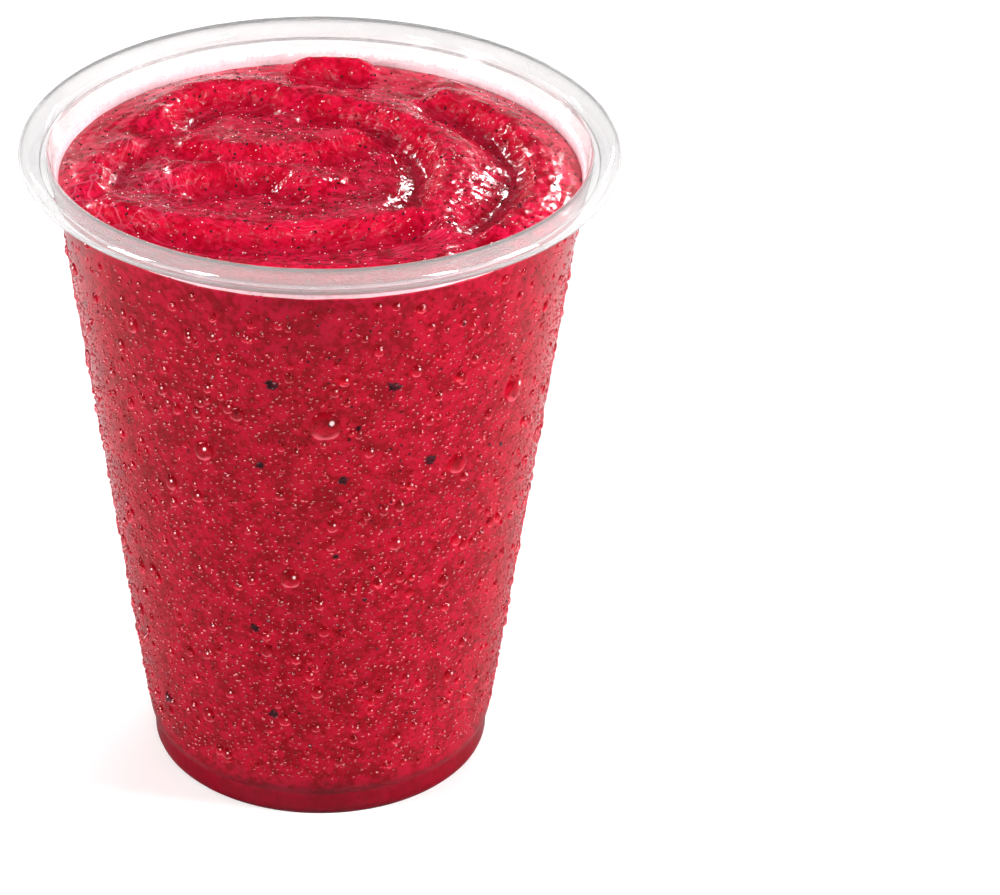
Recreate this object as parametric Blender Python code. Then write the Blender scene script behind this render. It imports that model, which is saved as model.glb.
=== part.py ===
"""Thick berry smoothie in a clear plastic cup, with beads of cold water on the cup's side.

Metres, +Z up. The origin is the centre of the cup's foot, on the surface that the cup stands on.
The cup is one turned sheet: recessed base, foot ring, straight tapered wall, flared neck and a
hollow rolled rim. The drink fills it to just under the rim and is stirred into curved folds.
"""

import math
import random
from collections import namedtuple

import bmesh
import bpy
from mathutils import Matrix, Vector

MM = 0.001

# Cup, outer sizes
CUP_HEIGHT = 114.5 * MM
RIM_RADIUS = 49.0 * MM
NECK_RADIUS = 43.0 * MM
STEP_RADIUS = 29.75 * MM
FOOT_RADIUS = 29.1 * MM
SHEET = 0.5 * MM

# Cup, heights and inner places
RECESS_HEIGHT = 2.0 * MM
RECESS_RADIUS = 22.0 * MM
RING_INNER_RADIUS = 25.0 * MM
GROOVE_HEIGHT = 4.6 * MM
GROOVE_DEPTH = 0.25 * MM
STEP_HEIGHT = 6.4 * MM
NECK_HEIGHT = 106.5 * MM
SHOULDER_HEIGHT = 109.8 * MM
SHOULDER_FLARE = 0.75 * MM
CURL_HALF_WIDTH = 2.5 * MM
CURL_HALF_HEIGHT = 1.9 * MM
CURL_START = 180.0
CURL_END = -120.0
CURL_STEPS = 10
CUP_SEGMENTS = 56

# Drink
CONTACT_HEIGHT = 107.7 * MM
GAP = 0.35 * MM
CROWN = 0.3 * MM
CROWN_POWER = 30
DRINK_SEGMENTS = 76
TOP_RINGS = 22
FOLD_END = 5.0 * MM

# Water beads
BEAD_SINK = 0.25 * MM
BEAD_SIDES = 8
BEAD_RINGS = 4
BEAD_SEED = 11
SMALL_BEADS = 26
SMALL_BEAD_HALF_WIDTH = (0.8 * MM, 1.25 * MM)
BEAD_LOWEST = 12.0 * MM
BEAD_HIGHEST = 99.0 * MM
BEAD_CLEARANCE = 4.5 * MM
GOLDEN_ANGLE = 137.508

# A stirred fold is an arc about (x, y); it falls steeply to its inner (-1) or outer (+1) side.
Fold = namedtuple("Fold", "x y radius start end height steep soft side")
FOLDS = (
    Fold(-6.0, -1.0, 27.0, -46, 88, 2.05, 2.5, 6.0, -1),
    Fold(-14.0, 18.0, 12.8, 26, 198, 2.10, 2.6, 4.5, -1),
    Fold(-10.0, 34.0, 26.8, -124, -42, 1.55, 2.2, 6.5, +1),
    Fold(-13.0, -17.0, 17.0, 28, 142, 1.90, 2.6, 5.0, -1),
    Fold(-8.0, 28.0, 49.0, -128, -60, 1.75, 2.4, 5.5, +1),
    Fold(3.0, -1.0, 33.0, -48, 66, 1.95, 2.5, 5.0, -1),
    Fold(1.0, 58.0, 92.5, -103, -76, 1.10, 1.8, 3.5, +1),
    Fold(0.0, 0.0, 39.8, 74, 100, 2.45, 2.4, 3.0, -1),
    Fold(-20.0, -3.0, 17.0, 118, 205, 1.20, 2.0, 4.0, -1),
)
HOLLOW_SHARE = 0.7

# The largest beads: turn from the front in degrees, height, half width, half length, swell.
Bead = namedtuple("Bead", "turn height half_width half_length swell")
LARGE_BEADS = (
    Bead(1.2, 83.2, 2.6, 2.8, 0.95),
    Bead(51.3, 81.7, 1.9, 2.6, 0.9),
    Bead(34.9, 71.6, 1.8, 2.0, 0.8),
    Bead(-28.8, 75.5, 1.7, 1.9, 0.8),
    Bead(-7.8, 52.0, 1.7, 1.9, 0.75),
    Bead(-45.9, 95.5, 1.2, 1.6, 0.6),
    Bead(19.2, 58.3, 1.2, 1.4, 0.6),
    Bead(-1.1, 28.0, 1.2, 1.3, 0.6),
    Bead(148.0, 88.0, 1.9, 2.3, 0.85),
    Bead(-118.0, 64.0, 1.8, 2.2, 0.8),
)

CLEAR_PLASTIC = (0.96, 0.97, 0.97, 1.0)
BERRY_RED = (0.60, 0.03, 0.09, 1.0)


def clear_scene():
    """Removes whatever the scene holds."""
    for obj in list(bpy.data.objects):
        bpy.data.objects.remove(obj, do_unlink=True)


def make_material(name, colour, roughness, transmission):
    """A Principled material."""
    material = bpy.data.materials.new(name)
    material.use_nodes = True
    shader = material.node_tree.nodes["Principled BSDF"]
    shader.inputs["Base Color"].default_value = colour
    shader.inputs["Roughness"].default_value = roughness
    shader.inputs["Metallic"].default_value = 0.0
    shader.inputs["Transmission Weight"].default_value = transmission
    return material


def rounded_path(corners):
    """Points along straight lines, each corner (x, z, cut, steps) rounded over its cut length."""
    path = []
    for index, (x, z, cut, steps) in enumerate(corners):
        corner = Vector((x, z))
        if steps == 0:
            path.append(corner)
            continue
        before = Vector(corners[index - 1][:2])
        after = Vector(corners[index + 1][:2])
        start = corner + (before - corner).normalized() * cut
        end = corner + (after - corner).normalized() * cut
        for step in range(steps + 1):
            t = step / steps
            path.append(start * (1 - t) ** 2 + corner * 2 * t * (1 - t) + end * t**2)
    return path


def sheet_middle():
    """The middle line of the cup's sheet, from the base's centre to the end of the curl."""
    half = SHEET / 2
    curl_x = RIM_RADIUS - CURL_HALF_WIDTH
    curl_z = CUP_HEIGHT - CURL_HALF_HEIGHT
    width = CURL_HALF_WIDTH - half
    height = CURL_HALF_HEIGHT - half
    shoulder_radius = NECK_RADIUS + SHOULDER_FLARE
    corners = [
        (0.0, RECESS_HEIGHT + half, 0.0, 0),
        (RECESS_RADIUS, RECESS_HEIGHT + half, 0.9 * MM, 1),
        (RING_INNER_RADIUS, half, 0.9 * MM, 1),
        (FOOT_RADIUS - half, half, 1.8 * MM, 3),
        (FOOT_RADIUS - GROOVE_DEPTH - half, GROOVE_HEIGHT, 0.0, 0),
        (STEP_RADIUS - half, STEP_HEIGHT, 0.5 * MM, 1),
        (NECK_RADIUS - half, NECK_HEIGHT, 0.8 * MM, 1),
        (shoulder_radius - half, SHOULDER_HEIGHT, 0.5 * MM, 1),
    ]
    path = rounded_path(corners + [(curl_x - width, curl_z, 0.0, 0)])[:-1]
    for step in range(CURL_STEPS + 1):
        angle = math.radians(CURL_START + (CURL_END - CURL_START) * step / CURL_STEPS)
        path.append(Vector((curl_x + width * math.cos(angle), curl_z + height * math.sin(angle))))
    return path


def offset(path, distance):
    """The path moved sideways: a positive distance goes to the outside of the cup."""
    moved = []
    for index, point in enumerate(path):
        before = point - path[index - 1] if index else path[1] - path[0]
        after = path[index + 1] - point if index + 1 < len(path) else before
        along = (before.normalized() + after.normalized()).normalized()
        outward = Vector((along.y, -along.x))
        moved.append(point + outward * distance / along.dot(before.normalized()))
    return moved


def cut_at_height(path, height):
    """The part of an outline below a height, ended exactly there."""
    kept = []
    for point, following in zip(path, path[1:]):
        kept.append(point)
        if point.y < height <= following.y:
            share = (height - point.y) / (following.y - point.y)
            kept.append(point.lerp(following, share))
            return kept
    raise ValueError("the outline never reaches that height")


def turn_outline(name, outline, segments):
    """Spins an open outline, which starts and ends on the axis, into a closed mesh."""
    mesh_builder = bmesh.new()
    verts = [mesh_builder.verts.new((point.x, 0.0, point.y)) for point in outline]
    edges = [mesh_builder.edges.new(pair) for pair in zip(verts, verts[1:])]
    bmesh.ops.spin(
        mesh_builder,
        geom=verts + edges,
        cent=(0, 0, 0),
        axis=(0, 0, 1),
        angle=2 * math.pi,
        steps=segments,
        use_merge=True,
    )
    bmesh.ops.remove_doubles(mesh_builder, verts=mesh_builder.verts, dist=0.001 * MM)
    bmesh.ops.recalc_face_normals(mesh_builder, faces=mesh_builder.faces)
    mesh = bpy.data.meshes.new(name)
    mesh_builder.to_mesh(mesh)
    mesh_builder.free()
    return mesh


def add_object(mesh, material, collection=None):
    """Links a mesh into the scene, shaded smooth but for its sharp edges."""
    mesh.materials.append(material)
    mesh.shade_smooth()
    mesh.set_sharp_from_angle(angle=math.radians(40))
    obj = bpy.data.objects.new(mesh.name, mesh)
    (collection or bpy.context.scene.collection).objects.link(obj)
    return obj


def wall_radius(height):
    """Outer radius of the tapered wall."""
    share = (height - STEP_HEIGHT) / (NECK_HEIGHT - STEP_HEIGHT)
    return STEP_RADIUS + (NECK_RADIUS - STEP_RADIUS) * share


def bead_list():
    """The large beads, and small ones spread round the wall clear of each other."""
    beads = [
        Bead(math.radians(bead.turn), *(size * MM for size in bead[1:])) for bead in LARGE_BEADS
    ]
    draw = random.Random(BEAD_SEED)
    tries = 0
    while len(beads) < len(LARGE_BEADS) + SMALL_BEADS:
        turn = math.radians(GOLDEN_ANGLE * tries + draw.uniform(-9.0, 9.0))
        height = draw.uniform(BEAD_LOWEST, BEAD_HIGHEST)
        half_width = draw.uniform(*SMALL_BEAD_HALF_WIDTH)
        tries += 1
        place = Vector((turn_x(turn, height), turn_y(turn, height), height))
        spots = (Vector((turn_x(b.turn, b.height), turn_y(b.turn, b.height), b.height)) for b in beads)
        if all((place - spot).length > BEAD_CLEARANCE for spot in spots):
            beads.append(Bead(turn, height, half_width, half_width * 1.2, half_width * 0.5))
    return beads


def turn_x(turn, height):
    """X of a place on the wall, for a turn counted from the front towards the right."""
    return wall_radius(height) * math.sin(turn)


def turn_y(turn, height):
    """Y of a place on the wall."""
    return -wall_radius(height) * math.cos(turn)


def bead_matrix(bead):
    """Stands a bead on the wall: X across it, Y up along it, Z out of it."""
    lean = math.atan2(NECK_RADIUS - STEP_RADIUS, NECK_HEIGHT - STEP_HEIGHT)
    radial = Vector((math.sin(bead.turn), -math.cos(bead.turn), 0.0))
    up_wall = (radial * math.sin(lean) + Vector((0, 0, math.cos(lean)))).normalized()
    outward = (radial * math.cos(lean) - Vector((0, 0, math.sin(lean)))).normalized()
    across = up_wall.cross(outward)
    turned = Matrix((across, up_wall, outward)).transposed().to_4x4()
    place = Vector((turn_x(bead.turn, bead.height), turn_y(bead.turn, bead.height), bead.height))
    return Matrix.Translation(place) @ turned


def bead_mesh(bead):
    """A domed drop with a flat back that lies inside the cup's sheet."""
    mesh_builder = bmesh.new()
    bmesh.ops.create_uvsphere(mesh_builder, u_segments=BEAD_SIDES, v_segments=BEAD_RINGS, radius=1.0)
    for vert in mesh_builder.verts:
        vert.co.x *= bead.half_width
        vert.co.y *= bead.half_length
        vert.co.z = vert.co.z * bead.swell if vert.co.z > -0.01 else -BEAD_SINK
    bmesh.ops.transform(mesh_builder, matrix=bead_matrix(bead), verts=mesh_builder.verts)
    mesh = bpy.data.meshes.new("bead")
    mesh_builder.to_mesh(mesh)
    mesh_builder.free()
    return mesh


def fuse_beads(cup, material):
    """Joins every bead to the cup by one Boolean union."""
    beads = bpy.data.collections.new("beads")
    bpy.context.scene.collection.children.link(beads)
    for bead in bead_list():
        add_object(bead_mesh(bead), material, beads)
    union = cup.modifiers.new("beads", "BOOLEAN")
    union.operation = "UNION"
    union.operand_type = "COLLECTION"
    union.collection = beads
    union.solver = "EXACT"
    bpy.context.view_layer.objects.active = cup
    bpy.ops.object.modifier_apply(modifier=union.name)
    for obj in list(beads.objects):
        bpy.data.objects.remove(obj, do_unlink=True)
    bpy.data.collections.remove(beads)
    cup.data.shade_smooth()
    cup.data.set_sharp_from_angle(angle=math.radians(40))


def smooth_step(share):
    """Eases from 0 to 1."""
    share = min(1.0, max(0.0, share))
    return share * share * (3 - 2 * share)


def fold_rise(fold, x, y):
    """Height in metres that one fold adds at a place given in millimetres."""
    reach = math.hypot(x - fold.x, y - fold.y)
    away = (reach - fold.radius) * fold.side
    middle = (fold.start + fold.end) / 2
    turn = (math.degrees(math.atan2(y - fold.y, x - fold.x)) - middle + 180) % 360 - 180
    spare = math.radians((fold.end - fold.start) / 2 - abs(turn)) * fold.radius * MM
    presence = smooth_step(spare / FOLD_END)
    if away < 0:
        return presence * fold.height * MM * math.exp(-((away / fold.soft) ** 2))
    crest = math.exp(-((away / fold.steep) ** 2))
    hollow = math.exp(-((away / fold.steep - 2.0) ** 2))
    return presence * fold.height * MM * (crest - HOLLOW_SHARE * hollow)


def surface_height(x, y, wall):
    """Height of the drink's surface above its contact line, for a place and the wall's radius."""
    inward = 1 - (math.hypot(x, y) / wall) ** CROWN_POWER
    rise = sum(fold_rise(fold, x / MM, y / MM) for fold in FOLDS)
    return inward * (CROWN + rise)


def make_cup():
    """The cup with its beads."""
    path = sheet_middle()
    outline = offset(path, SHEET / 2) + offset(path, -SHEET / 2)[::-1]
    material = make_material("clear_plastic", CLEAR_PLASTIC, 0.04, 1.0)
    cup = add_object(turn_outline("cup", outline, CUP_SEGMENTS), material)
    fuse_beads(cup, material)


def make_drink():
    """The drink: the cup's inside less a thin gap, under a stirred surface."""
    side = cut_at_height(offset(sheet_middle(), -SHEET / 2 - GAP), CONTACT_HEIGHT)
    wall = side[-1].x
    top = [Vector((wall * (1 - ring / TOP_RINGS), CONTACT_HEIGHT)) for ring in range(1, TOP_RINGS + 1)]
    mesh = turn_outline("smoothie", side + top, DRINK_SEGMENTS)
    for vert in mesh.vertices:
        if vert.co.z > CONTACT_HEIGHT - 0.001 * MM:
            vert.co.z += surface_height(vert.co.x, vert.co.y, wall)
    add_object(mesh, make_material("berry_smoothie", BERRY_RED, 0.3, 0.0))


def main():
    clear_scene()
    make_cup()
    make_drink()


main()
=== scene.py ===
"""Looks of a thick berry smoothie in a clear plastic cup whose side is beaded with cold water.

Metres, +Z up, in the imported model's frame. The cup and the drink are turned from one section,
the drink's top is stirred by named folds, and water, seeds and air are scattered by seeded rules.
"""

import logging
import math
import random
from dataclasses import dataclass, field
from enum import Enum

import bmesh
import bpy
import numpy as np
from mathutils import Euler, Matrix, Vector, noise


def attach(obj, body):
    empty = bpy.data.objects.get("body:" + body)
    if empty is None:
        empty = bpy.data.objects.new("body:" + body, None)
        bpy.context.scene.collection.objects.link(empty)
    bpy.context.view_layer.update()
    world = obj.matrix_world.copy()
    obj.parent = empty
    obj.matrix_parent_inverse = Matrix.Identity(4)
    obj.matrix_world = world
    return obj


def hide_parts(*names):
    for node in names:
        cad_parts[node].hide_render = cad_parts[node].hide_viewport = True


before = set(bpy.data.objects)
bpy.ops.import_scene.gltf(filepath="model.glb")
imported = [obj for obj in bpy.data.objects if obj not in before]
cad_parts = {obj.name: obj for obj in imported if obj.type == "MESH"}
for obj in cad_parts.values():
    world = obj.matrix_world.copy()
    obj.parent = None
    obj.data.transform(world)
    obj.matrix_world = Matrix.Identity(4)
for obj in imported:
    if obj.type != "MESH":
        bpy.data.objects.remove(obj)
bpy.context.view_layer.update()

MM = 0.001
BODY = "root"
LOG = logging.getLogger("smoothie")

# Where a fold's foot and its scarp lie, in widths of its steep side.
FOLD_FOOT = 2.0
SCARP_MIDDLE = 0.8
SCARP_WIDTH = 0.7

Colour = tuple[float, float, float]
Place = tuple[float, float, float]
Span = tuple[float, float]
Section = list[Vector]


class FallSide(Enum):
    """The side of its arc to which a stirred fold falls steeply."""

    INNER = -1.0
    OUTER = 1.0


class LampUse(Enum):
    """What a lamp is for."""

    FILL = "lights matt faces only"
    MIRROR = "is mirrored in wet and clear faces only"
    BOTH = "does both"


class BeadKind(Enum):
    """How large a bead of water is."""

    FINE = "fine"
    MEDIUM = "medium"
    LARGE = "large"


@dataclass(frozen=True)
class CupSizes:
    """The cup's sizes in metres, as its solid has them."""

    height: float = 114.5 * MM
    rim_radius: float = 49.0 * MM
    neck_radius: float = 43.0 * MM
    step_radius: float = 29.75 * MM
    foot_radius: float = 29.1 * MM
    sheet: float = 0.5 * MM
    recess_height: float = 2.0 * MM
    recess_radius: float = 22.0 * MM
    ring_inner_radius: float = 25.0 * MM
    groove_height: float = 4.6 * MM
    groove_depth: float = 0.25 * MM
    step_height: float = 6.4 * MM
    neck_height: float = 106.5 * MM
    shoulder_height: float = 109.8 * MM
    shoulder_flare: float = 0.75 * MM
    curl_half_width: float = 2.5 * MM
    curl_half_height: float = 1.9 * MM
    curl_start: float = 180.0
    curl_end: float = -120.0
    contact_height: float = 107.7 * MM
    recess_bend: float = 0.9 * MM
    foot_bend: float = 1.8 * MM
    groove_bend: float = 0.5 * MM
    step_bend: float = 0.6 * MM
    neck_bend: float = 0.8 * MM
    shoulder_bend: float = 0.5 * MM

    def wall_radius(self, height: float) -> float:
        """Outer radius of the tapered wall at a height."""
        share = (height - self.step_height) / (self.neck_height - self.step_height)
        return self.step_radius + (self.neck_radius - self.step_radius) * share

    def wall_lean(self) -> float:
        """Angle between the tapered wall and the upright, in radians."""
        return math.atan2(self.neck_radius - self.step_radius, self.neck_height - self.step_height)

    def on_wall(self, turn: float, height: float, depth: float = 0.0) -> Matrix:
        """Stands a frame on the wall: X across it, Y up along it, Z out of it.

        Args:
            turn: angle from the front towards the right, in radians.
            height: height above the table.
            depth: how far inside the outer face the frame lies.

        Returns:
            The matrix from that frame to the cup's.
        """
        lean = self.wall_lean()
        radial = Vector((math.sin(turn), -math.cos(turn), 0.0))
        up_wall = radial * math.sin(lean) + Vector((0.0, 0.0, math.cos(lean)))
        outward = radial * math.cos(lean) - Vector((0.0, 0.0, math.sin(lean)))
        turned = Matrix((up_wall.cross(outward), up_wall, outward)).transposed().to_4x4()
        place = radial * self.wall_radius(height) + Vector((0.0, 0.0, height)) - outward * depth
        return Matrix.Translation(place) @ turned

    def middle_line(self, curl_steps: int, round_steps: int) -> Section:
        """The middle line of the cup's sheet, from the base's centre to the end of the curl.

        Args:
            curl_steps: segments round the rolled rim.
            round_steps: segments in each rounded corner.

        Returns:
            Points (radius, height) in order.
        """
        half = self.sheet / 2
        curl_x = self.rim_radius - self.curl_half_width
        curl_z = self.height - self.curl_half_height
        width = self.curl_half_width - half
        height = self.curl_half_height - half
        shoulder = self.neck_radius + self.shoulder_flare - half
        corners = [
            (0.0, self.recess_height + half, 0.0),
            (self.recess_radius, self.recess_height + half, self.recess_bend),
            (self.ring_inner_radius, half, self.recess_bend),
            (self.foot_radius - half, half, self.foot_bend),
            (self.foot_radius - self.groove_depth - half, self.groove_height, self.groove_bend),
            (self.step_radius - half, self.step_height, self.step_bend),
            (self.neck_radius - half, self.neck_height, self.neck_bend),
            (shoulder, self.shoulder_height, self.shoulder_bend),
            (curl_x - width, curl_z, 0.0),
        ]
        path = rounded_line(corners, round_steps)[:-1]
        for step in range(curl_steps + 1):
            angle = math.radians(self.curl_start + (self.curl_end - self.curl_start) * step / curl_steps)
            path.append(Vector((curl_x + width * math.cos(angle), curl_z + height * math.sin(angle))))
        return path

    def inner_line(self, depth: float, level: float) -> Section:
        """The inner face up to a level, moved a depth into the sheet."""
        middle = self.middle_line(curl_steps=8, round_steps=4)
        return line_below(shifted_line(middle, depth - self.sheet / 2), level)


def rounded_line(corners: list[tuple[float, float, float]], steps: int) -> Section:
    """A line through corners, each rounded over its own cut length.

    Args:
        corners: (radius, height, cut) of each corner; a cut of 0 keeps it sharp.
        steps: segments in each rounded corner.

    Returns:
        The points in order.
    """
    path: Section = []
    for index, (x, z, cut) in enumerate(corners):
        corner = Vector((x, z))
        if cut == 0.0:
            path.append(corner)
            continue
        start = corner + (Vector(corners[index - 1][:2]) - corner).normalized() * cut
        end = corner + (Vector(corners[index + 1][:2]) - corner).normalized() * cut
        for step in range(steps + 1):
            t = step / steps
            path.append(start * (1 - t) ** 2 + corner * 2 * t * (1 - t) + end * t**2)
    return path


def shifted_line(path: Section, distance: float) -> Section:
    """A line moved sideways; a positive distance goes to the outside of the cup.

    Args:
        path: the line.
        distance: how far it moves.

    Returns:
        The moved line.
    """
    moved: Section = []
    for index, point in enumerate(path):
        before = (point - path[index - 1] if index else path[1] - path[0]).normalized()
        after = (path[index + 1] - point).normalized() if index + 1 < len(path) else before
        along = (before + after).normalized()
        moved.append(point + Vector((along.y, -along.x)) * distance / along.dot(before))
    return moved


def line_below(path: Section, height: float) -> Section:
    """The part of a line below a height, ended exactly there.

    Args:
        path: a line that rises past the height.
        height: where to end it.

    Returns:
        The points kept.
    """
    kept: Section = []
    for point, following in zip(path, path[1:]):
        kept.append(point)
        if point.y < height <= following.y:
            kept.append(point.lerp(following, (height - point.y) / (following.y - point.y)))
            return kept
    raise ValueError("the line never reaches that height")


def turned_builder(section: Section, segments: int) -> bmesh.types.BMesh:
    """Spins a section that starts and ends on the axis into a closed shape.

    Args:
        section: points (radius, height) in order.
        segments: steps round the axis.

    Returns:
        The shape, for the caller to finish and free.
    """
    builder = bmesh.new()
    verts = [builder.verts.new((point.x, 0.0, point.y)) for point in section]
    edges = [builder.edges.new(pair) for pair in zip(verts, verts[1:])]
    bmesh.ops.spin(
        builder, geom=verts + edges, cent=(0, 0, 0), axis=(0, 0, 1), dvec=(0, 0, 0),
        angle=2 * math.pi, steps=segments, use_merge=True,
    )
    bmesh.ops.remove_doubles(builder, verts=builder.verts, dist=0.001 * MM)
    bmesh.ops.recalc_face_normals(builder, faces=builder.faces)
    return builder


def finished_mesh(builder: bmesh.types.BMesh, name: str) -> bpy.types.Mesh:
    """Turns a builder into a smooth-shaded mesh and frees it.

    Args:
        builder: the shape.
        name: the mesh's name.

    Returns:
        The mesh.
    """
    mesh = bpy.data.meshes.new(name)
    builder.to_mesh(mesh)
    builder.free()
    mesh.shade_smooth()
    return mesh


def place_piece(mesh: bpy.types.Mesh, materials: list[bpy.types.Material]) -> bpy.types.Object:
    """Puts a finished mesh in the scene as a piece of the object.

    Args:
        mesh: the mesh, in the cup's frame; the piece takes its name.
        materials: the piece's finishes, in slot order.

    Returns:
        The piece, riding on the part's body.
    """
    for material in materials:
        mesh.materials.append(material)
    piece = bpy.data.objects.new(mesh.name, mesh)
    bpy.context.scene.collection.objects.link(piece)
    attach(piece, BODY)
    LOG.info("%s: %d faces", piece.name, len(mesh.polygons))
    return piece


class NodeBoard:
    """Adds and links nodes in one node tree in few words."""

    def __init__(self, tree: bpy.types.NodeTree) -> None:
        """Keeps the tree to work on."""
        self.tree = tree

    def add(self, kind: str, inputs: dict | None = None, **settings: object) -> bpy.types.Node:
        """Adds a node.

        Args:
            kind: the node's type name without its ShaderNode prefix.
            inputs: values or sockets for its inputs, by name or index.
            **settings: the node's own properties.

        Returns:
            The node.
        """
        node = self.tree.nodes.new("ShaderNode" + kind)
        for name, value in settings.items():
            setattr(node, name, value)
        for name, value in (inputs or {}).items():
            self.feed(node.inputs[name], value)
        return node

    def feed(self, socket: bpy.types.NodeSocket, value: object) -> None:
        """Links a socket to an input, or sets the input's plain value.

        Args:
            socket: the input.
            value: another node's output, or a number, colour or vector.
        """
        if isinstance(value, bpy.types.NodeSocket):
            self.tree.links.new(value, socket)
        elif isinstance(value, tuple) and len(value) == 3 and socket.type == "RGBA":
            socket.default_value = (*value, 1.0)
        else:
            socket.default_value = value

    def surface(self, shader: bpy.types.Node, output: str = "OutputMaterial") -> None:
        """Ends the tree in a shader."""
        self.feed(self.add(output).inputs["Surface"], shader.outputs[0])

    def place(self) -> bpy.types.NodeSocket:
        """The object's own coordinates."""
        return self.add("TexCoord").outputs["Object"]

    def part(self, vector: bpy.types.NodeSocket, axis: str) -> bpy.types.NodeSocket:
        """One coordinate of a vector."""
        return self.add("SeparateXYZ", {0: vector}).outputs[axis]

    def stored(self, name: str, output: str) -> bpy.types.NodeSocket:
        """What the mesh stores under a name."""
        return self.add("Attribute", attribute_name=name).outputs[output]

    def apart(self, first: object, second: object) -> bpy.types.NodeSocket:
        """The distance between two places."""
        return self.add("VectorMath", {0: first, 1: second}, operation="DISTANCE").outputs["Value"]

    def cloud(
        self, at: bpy.types.NodeSocket, scale: float,
        detail: float = 2.0, roughness: float = 0.5, bend: float = 0.0,
    ) -> bpy.types.NodeSocket:
        """Soft noise between 0 and 1.

        Args:
            at: where to read it.
            scale: how fine it is.
            detail: how many finer layers it has.
            roughness: how strong those are.
            bend: how far it is distorted.

        Returns:
            The noise's value.
        """
        inputs = {"Vector": at, "Scale": scale, "Detail": detail, "Roughness": roughness, "Distortion": bend}
        return self.add("TexNoise", inputs).outputs["Fac"]

    def ramp(self, value: bpy.types.NodeSocket, low: float, high: float) -> bpy.types.NodeSocket:
        """Stretches a value so that low becomes 0 and high becomes 1, with soft ends."""
        inputs = {"Value": value, "From Min": low, "From Max": high}
        return self.add("MapRange", inputs, interpolation_type="SMOOTHSTEP").outputs["Result"]

    def maths(self, operation: str, first: object, second: object = 0.0) -> bpy.types.NodeSocket:
        """One step of arithmetic."""
        return self.add("Math", {0: first, 1: second}, operation=operation).outputs[0]

    def times(self, first: object, second: object) -> bpy.types.NodeSocket:
        """Multiplies two values."""
        return self.maths("MULTIPLY", first, second)

    def blend(self, share: object, first: object, second: object) -> bpy.types.NodeSocket:
        """Mixes two colours by a share.

        Args:
            share: how much of the second there is.
            first: a colour.
            second: a colour.

        Returns:
            The mixed colour.
        """
        node = self.add("Mix", data_type="RGBA")
        for index, value in ((0, share), (6, first), (7, second)):
            self.feed(node.inputs[index], value)
        return node.outputs[2]

    def bump(self, height: bpy.types.NodeSocket, distance: float) -> bpy.types.NodeSocket:
        """A normal that follows a fine relief."""
        return self.add("Bump", {"Height": height, "Distance": distance, "Strength": 1.0}).outputs["Normal"]


class GroupBoard(NodeBoard):
    """A board on a new shader node group, with the nodes that hold its inputs and outputs."""

    def __init__(self, name: str, inputs: dict[str, tuple[str, object]], outputs: dict[str, str]) -> None:
        """Starts the group.

        Args:
            name: the group's name.
            inputs: socket type and default of each input.
            outputs: socket type of each output.
        """
        super().__init__(bpy.data.node_groups.new(name, "ShaderNodeTree"))
        for label, (kind, default) in inputs.items():
            socket = self.tree.interface.new_socket(name=label, in_out="INPUT", socket_type=kind)
            socket.default_value = default
        for label, kind in outputs.items():
            self.tree.interface.new_socket(name=label, in_out="OUTPUT", socket_type=kind)
        self.source = self.tree.nodes.new("NodeGroupInput")
        self.sink = self.tree.nodes.new("NodeGroupOutput")


def new_material(name: str) -> tuple[bpy.types.Material, NodeBoard]:
    """An empty material and its board.

    Args:
        name: the material's name.

    Returns:
        The material and the board.
    """
    material = bpy.data.materials.new(name)
    material.use_nodes = True
    material.node_tree.nodes.clear()
    return material, NodeBoard(material.node_tree)


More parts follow.
